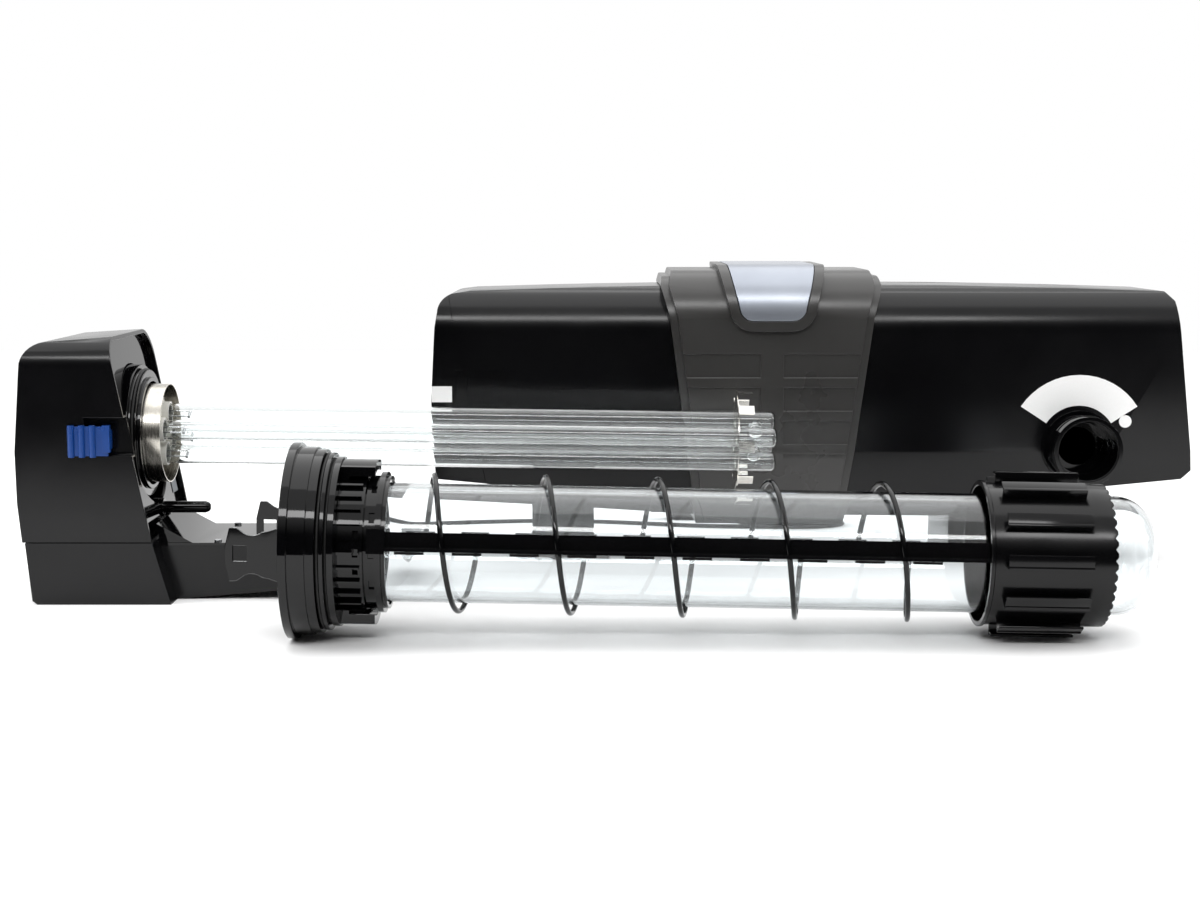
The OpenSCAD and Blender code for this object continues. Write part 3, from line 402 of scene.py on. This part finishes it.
def turnedInto(bm, profile, steps, place):
    # a solid turned about X from [x, radius] points; a radius of zero is a pole
    rings = []
    for x, radius in profile:
        if radius < 1e-6:
            rings.append([bm.verts.new(place @ Vector((x, 0, 0)))])
        else:
            around = [2 * math.pi * j / steps for j in range(steps)]
            rings.append([bm.verts.new(place @ Vector((x, radius * math.cos(a),
                                                       radius * math.sin(a)))) for a in around])
    for a, b in zip(rings, rings[1:]):
        for j in range(steps):
            k = (j + 1) % steps
            if len(a) == 1 and len(b) == 1:
                break
            if len(a) == 1:
                bm.faces.new((a[0], b[j], b[k]))
            elif len(b) == 1:
                bm.faces.new((a[j], b[0], a[k]))
            else:
                bm.faces.new((a[j], b[j], b[k], a[k]))


def arcPoints(x, radius, r, start, end, steps):
    return [(x + r * math.cos(math.radians(start + (end - start) * i / steps)),
             radius + r * math.sin(math.radians(start + (end - start) * i / steps))) for i in range(steps + 1)]


def meshPiece(name, bm, smoothAngle=40, hollow=None):
    bmesh.ops.recalc_face_normals(bm, faces=bm.faces)
    if hollow:
        # the inside skin faces into the hollow
        bmesh.ops.recalc_face_normals(hollow, faces=hollow.faces)
        bmesh.ops.reverse_faces(hollow, faces=hollow.faces)
        inside = bpy.data.meshes.new(name + "Inside")
        hollow.to_mesh(inside)
        hollow.free()
        bm.from_mesh(inside)
        bpy.data.meshes.remove(inside)
    cleanMesh(bm, smoothAngle)
    mesh = bpy.data.meshes.new(name)
    bm.to_mesh(mesh)
    bm.free()
    mesh.transform(scaleMm)
    return bpy.data.objects.new(name, mesh)


def makeQuartz():
    tube = {"from": 16, "tip": 637, "radius": 44, "wall": 2.5, "dome": 27, "steps": 128}
    r, w, d = tube["radius"], tube["wall"], tube["dome"]
    at = tube["tip"] - d - 3
    profile = [(tube["from"] + 0.6, r - w), (tube["from"], r - w + 0.6), (tube["from"], r - 0.6),
               (tube["from"] + 0.6, r)]
    profile += [(tube["from"] + (at - tube["from"]) * i / 8, r) for i in range(1, 8)]
    profile += arcPoints(at, r - d, d, 90, 8, 14) + [(tube["tip"] - 0.6, 8), (tube["tip"], 0)]
    inner = [(tube["tip"] - w, 0), (tube["tip"] - w - 0.6, 7)] + arcPoints(at, r - d, d - w, 8, 90, 14)
    inner += [(tube["from"] + (at - tube["from"]) * i / 8, r - w) for i in range(7, 0, -1)]
    bm = bmesh.new()
    # the two skins meet in the ring at the open end
    turnedInto(bm, profile, tube["steps"], sleeveFrame)
    turnedInto(bm, inner + [profile[0]], tube["steps"], sleeveFrame)
    bmesh.ops.remove_doubles(bm, verts=bm.verts, dist=0.001)
    return finishPiece(meshPiece("quartzSleeve", bm, 60), quartz, ["quartz_sleeve"])


def makeLamps():
    lamp = {"tube": 16.5, "pitch": 24, "wall": 1.2, "from": 24, "length": 535, "bridge": 17, "steps": 48}
    r, w = lamp["tube"] / 2, lamp["wall"]
    bm, hollows = bmesh.new(), bmesh.new()
    for b in (-0.5, 0.5):
        for a in (-0.5, 0.5):
            at = lampFrame @ Matrix.Translation(Vector((0, a * lamp["pitch"], b * lamp["pitch"])))
            skin = [(lamp["from"], 0), (lamp["from"], r)]
            skin += [(lamp["from"] + (lamp["length"] - lamp["from"]) * i / 6, r) for i in range(1, 6)]
            skin += arcPoints(lamp["length"] - 4, r - 4, 4, 90, 0, 6) + [(lamp["length"], 0)]
            turnedInto(bm, skin, lamp["steps"], at)
            hollow = [(lamp["length"] - w, 0)] + arcPoints(lamp["length"] - 4, r - 4, 4 - w, 0, 90, 6)
            hollow += [(lamp["from"] + (lamp["length"] - lamp["from"]) * i / 6, r - w) for i in range(5, 0,
                    -1)]
            hollow += [(lamp["from"] + 2, r - w), (lamp["from"] + 2, 0)]
            turnedInto(hollows, hollow, lamp["steps"], at)
        at = lampFrame @ Matrix.Translation(Vector((lamp["length"] - lamp["bridge"], 0, b * lamp["pitch"])))
        at = at @ Matrix.Rotation(math.radians(90), 4, "Z")
        turnedInto(bm, [(-4.3, 0), (-4.3, 5.6), (-3.2, 4.8), (3.2, 4.8), (4.3, 5.6), (4.3, 0)], 24, at)
    piece = meshPiece("lampTubes", bm, 50, hollows)
    return finishPiece(piece, lampGlass, ["lamp_tubes"])


makeQuartz()
makeLamps()
print("stage 5: glass")


def newTree(name, inputs):
    tree = bpy.data.node_groups.new(name, "GeometryNodeTree")
    tree.interface.new_socket("Geometry", in_out="OUTPUT", socket_type="NodeSocketGeometry")
    tree.interface.new_socket("Geometry", in_out="INPUT", socket_type="NodeSocketGeometry")
    for label, kind in inputs:
        tree.interface.new_socket(label, in_out="INPUT", socket_type=kind)
    return tree, tree.nodes.new("NodeGroupInput"), tree.nodes.new("NodeGroupOutput")


def ringTree():
    # copies of one shape turned round the X axis
    tree, given, out = newTree("copiesRoundAxis", [("Count", "NodeSocketInt"),
                                                   ("Start Turn", "NodeSocketFloat"), ("Finish",
                                                           "NodeSocketMaterial")])
    line = addNode(tree, "GeometryNodeMeshLine", {"mode": "OFFSET"}, {"Offset": (0, 0, 0)},
                   {"Count": given.outputs["Count"]})
    step = addNode(tree, "ShaderNodeMath", {"operation": "DIVIDE"}, {0: 2 * math.pi},
                   {1: given.outputs["Count"]})
    turn = addNode(tree, "ShaderNodeMath", {"operation": "MULTIPLY_ADD"},
                   links={0: addNode(tree, "GeometryNodeInputIndex").outputs[0], 1: step.outputs[0],
                          2: given.outputs["Start Turn"]})
    spin = addNode(tree, "ShaderNodeCombineXYZ", links={"X": turn.outputs[0]})
    placed = addNode(tree, "GeometryNodeInstanceOnPoints",
                     links={"Points": line.outputs["Mesh"], "Instance": given.outputs["Geometry"],
                            "Rotation": spin.outputs[0]})
    real = addNode(tree, "GeometryNodeRealizeInstances", links={"Geometry": placed.outputs["Instances"]})
    done = addNode(tree, "GeometryNodeSetMaterial", links={"Geometry": real.outputs["Geometry"],
                                                           "Material": given.outputs["Finish"]})
    tree.links.new(done.outputs["Geometry"], out.inputs["Geometry"])
    return tree


def hoopTree():
    # one turn of wire wound on a spiral, repeated along the axis
    tree, given, out = newTree("wireHoops", [("Radius", "NodeSocketFloat"), ("Wire", "NodeSocketFloat"),
                                             ("Advance", "NodeSocketFloat"),
                                             ("Turns", "NodeSocketFloat"), ("Count",
                                                     "NodeSocketInt"), ("Pitch", "NodeSocketVector"),
                                             ("Finish", "NodeSocketMaterial")])
    spiral = addNode(tree, "GeometryNodeCurveSpiral", values={"Resolution": 96, "Reverse": True},
                     links={"Rotations": given.outputs["Turns"], "Start Radius": given.outputs["Radius"],
                            "End Radius": given.outputs["Radius"], "Height": given.outputs["Advance"]})
    laid = addNode(tree, "GeometryNodeTransform", values={"Rotation": (0, math.pi / 2, 0)},
                   links={"Geometry": spiral.outputs[0]})
    turned = addNode(tree, "GeometryNodeTransform", values={"Rotation": (math.pi / 2, 0, 0)},
                     links={"Geometry": laid.outputs[0]})
    section = addNode(tree, "GeometryNodeCurvePrimitiveCircle", values={"Resolution": 16},
                      links={"Radius": given.outputs["Wire"]})
    wire = addNode(tree, "GeometryNodeCurveToMesh", values={"Fill Caps": True},
                   links={"Curve": turned.outputs[0], "Profile Curve": section.outputs["Curve"]})
    line = addNode(tree, "GeometryNodeMeshLine", {"mode": "OFFSET"},
                   links={"Count": given.outputs["Count"], "Offset": given.outputs["Pitch"]})
    placed = addNode(tree, "GeometryNodeInstanceOnPoints",
                     links={"Points": line.outputs["Mesh"], "Instance": wire.outputs["Mesh"]})
    real = addNode(tree, "GeometryNodeRealizeInstances", links={"Geometry": placed.outputs["Instances"]})
    smooth = addNode(tree, "GeometryNodeSetShadeSmooth", links={"Geometry": real.outputs["Geometry"]})
    done = addNode(tree, "GeometryNodeSetMaterial", links={"Geometry": smooth.outputs["Geometry"],
                                                           "Material": given.outputs["Finish"]})
    tree.links.new(done.outputs["Geometry"], out.inputs["Geometry"])
    return tree


def growMesh(name, tree, start, values, place):
    # run the tree once and keep its result as a plain mesh
    holder = bpy.data.objects.new(name + "Holder", start)
    scene.collection.objects.link(holder)
    modifier = holder.modifiers.new("grow", "NODES")
    modifier.node_group = tree
    sockets = {s.name: s.identifier for s in tree.interface.items_tree if s.in_out == "INPUT"}
    for label, value in values.items():
        modifier[sockets[label]] = value
    bpy.context.view_layer.update()
    grown = bpy.data.meshes.new_from_object(holder.evaluated_get(bpy.context.evaluated_depsgraph_get()))
    holder.modifiers.remove(modifier)
    bpy.data.objects.remove(holder)
    grown.name = name
    grown.transform(scaleMm @ place)
    return grown


def makeHoops():
    hoop = {"radius": 50.0, "wire": 2.0, "advance": 41.0, "arc": 352 / 360, "count": 5, "pitch": 82.7,
            "first": 113.5, "startTurn": 4.0}
    place = rotorFrame @ Matrix.Translation(Vector((hoop["first"] - hoop["advance"] * (0.5 - hoop["startTurn"] / 360), 0, 0)))
    place = place @ Matrix.Rotation(math.radians(hoop["startTurn"]), 4, "X")
    mesh = growMesh("rotorHoops", hoopTree(), bpy.data.meshes.new("empty"),
                    {"Radius": hoop["radius"], "Wire": hoop["wire"],
                     "Advance": hoop["advance"] * hoop["arc"], "Turns": hoop["arc"],
                     "Count": hoop["count"], "Pitch": (hoop["pitch"], 0, 0), "Finish": glossAbs}, place)
    return finishPiece(bpy.data.objects.new("rotorHoops", mesh), glossAbs, ["rotor_hoops"])


def roundedBlock(bm, low, high, width=0.5):
    made = bmesh.ops.create_cube(bm, size=1.0)["verts"]
    low, high = Vector(low), Vector(high)
    for v in made:
        v.co = Vector([(low[i] + high[i]) / 2 + v.co[i] * (high[i] - low[i]) for i in range(3)])
    edges = list({e for v in made for e in v.link_edges})
    bmesh.ops.bevel(bm, geom=edges, offset=width, segments=2, profile=0.5, affect="EDGES",
                    clamp_overlap=True)


def makeDrum():
    drum = {"from": 506, "to": 597, "radius": 52.5, "wall": 2.5, "teeth": 40, "toothDeep": 2.0,
            "paddles": 12,
            "paddleFrom": 517, "paddleTo": 578, "paddleRadius": 61.5,
            "webFrom": 520, "webTo": 524, "webBore": 44.1}
    r, w, n = drum["radius"], drum["wall"], drum["teeth"]
    bm = bmesh.new()
    steps = n * 6
    # one tooth: flat land, then a V notch; the pattern starts at the top of the drum
    notch = [0, 0, 0.5, 1, 0.5, 0]
    shape = [(drum["from"] + 0.5, r - w), (drum["from"], r - w + 0.5), (drum["from"], r + 1),
             (drum["from"] + 0.5, r + 1.5),
             (drum["from"] + 2.5, r + 1.5), (drum["from"] + 3, r + 1), (drum["from"] + 3.4,
                     r), (drum["to"] - 14, r),
             (drum["to"] - 13.4, r + 0.35), (drum["to"] - 0.5, r + 0.35), (drum["to"],
                     r - 0.2), (drum["to"], r - w + 0.4),
             (drum["to"] - 0.5, r - w), (drum["webTo"], r - w), (drum["webTo"], drum["webBore"]),
             (drum["webFrom"], drum["webBore"]), (drum["webFrom"], r - w)]
    rings = []
    for x, radius in shape:
        ring = []
        for j in range(steps):
            a = 2 * math.pi * j / steps
            back = drum["toothDeep"] * notch[j % 6] if x > drum["to"] - 1 else 0
            ring.append(bm.verts.new(rotorFrame @ Vector((x - back, radius * math.sin(a),
                                                          radius * math.cos(a)))))
        rings.append(ring)
    for a, b in zip(rings, rings[1:] + rings[:1]):
        for j in range(steps):
            k = (j + 1) % steps
            bm.faces.new((a[j], b[j], b[k], a[k]))
    shell = meshPiece("drumShell", bm, 32)
    # one paddle: an upright rib with a plate bent over to one side
    one = bmesh.new()
    top = drum["paddleRadius"]
    roundedBlock(one, (drum["paddleFrom"], -1.2, r - 1.4), (drum["paddleTo"], 1.2, top - 0.4), 0.4)
    roundedBlock(one, (drum["paddleFrom"], -1.1, top - 3), (drum["paddleTo"], 9.5, top - 1.1), 0.6)
    cleanMesh(one, 40)
    paddle = bpy.data.meshes.new("paddle")
    one.to_mesh(paddle)
    one.free()
    setting = {"Count": drum["paddles"], "Start Turn": -math.radians(sleeve["barTurn"]), "Finish": nylon}
    ring = growMesh("paddles", ringTree(), paddle, setting, rotorFrame)
    joined = bmesh.new()
    joined.from_mesh(shell.data)
    joined.from_mesh(ring)
    joined.to_mesh(shell.data)
    joined.free()
    shell.name = "paddleDrum"
    return finishPiece(shell, nylon, ["paddle_drum"])


makeHoops()
makeDrum()
print("stage 6: cleaning rotor")


def studio():
    light = {"top": 44.0, "side": 11.0, "front": 34.0}
    world = bpy.data.worlds.new("studio")
    scene.world = world
    world.use_nodes = True
    tree = world.node_tree
    tree.nodes.clear()
    path = addNode(tree, "ShaderNodeLightPath")
    way = addNode(tree, "ShaderNodeSeparateXYZ", links={"Vector": addNode(tree,
            "ShaderNodeTexCoord").outputs["Generated"]})
    above = addNode(tree, "ShaderNodeMapRange", {"interpolation_type": "SMOOTHSTEP"},
                    {"From Min": 0.25, "From Max": 0.75}, {"Value": way.outputs["Z"]})
    behind = addNode(tree, "ShaderNodeMapRange", {"interpolation_type": "SMOOTHSTEP"},
                     {"From Min": 0.1, "From Max": 0.7}, {"Value": way.outputs["Y"]})
    both = addNode(tree, "ShaderNodeMath", {"operation": "MAXIMUM"},
                   links={0: above.outputs["Result"], 1: behind.outputs["Result"]})
    # a softbox overhead and a white wall behind; the room in front is dim, so black plastic stays black
    dim = addNode(tree, "ShaderNodeMapRange", values={"To Min": 0.02, "To Max": 1.0},
                  links={"Value": both.outputs[0]})
    straight = addNode(tree, "ShaderNodeMath", {"operation": "MAXIMUM"},
                       links={0: path.outputs["Is Camera Ray"], 1: path.outputs["Is Transmission Ray"]})
    strength = addNode(tree, "ShaderNodeMix", {"data_type": "FLOAT"}, {"B": 1.0},
                       {"Factor": straight.outputs[0], "A": dim.outputs["Result"]})
    back = addNode(tree, "ShaderNodeBackground", values={"Color": hexColour("#ffffff")},
                   links={"Strength": strength.outputs["Result"]})
    addNode(tree, "ShaderNodeOutputWorld", links={"Surface": back.outputs[0]})
    for name, place, aim, size, power in (
            ("overheadSoftbox", (0, 0.7, 2.1), (0, 0.7, 0), (3.6, 3.0), light["top"]),
            ("leftSoftbox", (-1.7, -0.5, 1.1), (-0.2, 0.1, 0.1), (0.5, 1.0), light["side"]),
            ("frontSoftbox", (-0.2, -2.3, 1.9), (0, 0.1, 0.1), (2.4, 0.4), light["front"]),
            ("rightSoftbox", (1.8, -0.2, 1.0), (0.2, 0.1, 0.1), (0.5, 1.0), light["side"] * 0.7)):
        data = bpy.data.lights.new(name, "AREA")
        data.shape, data.size, data.size_y, data.energy = "RECTANGLE", size[0], size[1], power
        lamp = bpy.data.objects.new(name, data)
        lamp.location = place
        lamp.rotation_euler = (Vector(aim) - Vector(place)).to_track_quat("-Z", "Y").to_euler()
        scene.collection.objects.link(lamp)
    floor = bmesh.new()
    bmesh.ops.create_grid(floor, x_segments=1, y_segments=1, size=1.0)
    for v in floor.verts:
        v.co = Vector((v.co.x * 2.6, 1.0 + v.co.y * 1.78, 0))
    mesh = bpy.data.meshes.new("floor")
    floor.to_mesh(mesh)
    floor.free()
    plain = bpy.data.objects.new("floor", mesh)
    material, tree, shader = newMaterial("paperSweep", "#fbfbfb", 0.0, 0.7)
    mesh.materials.append(material)
    scene.collection.objects.link(plain)


studio()
print("stage 7: light and floor")
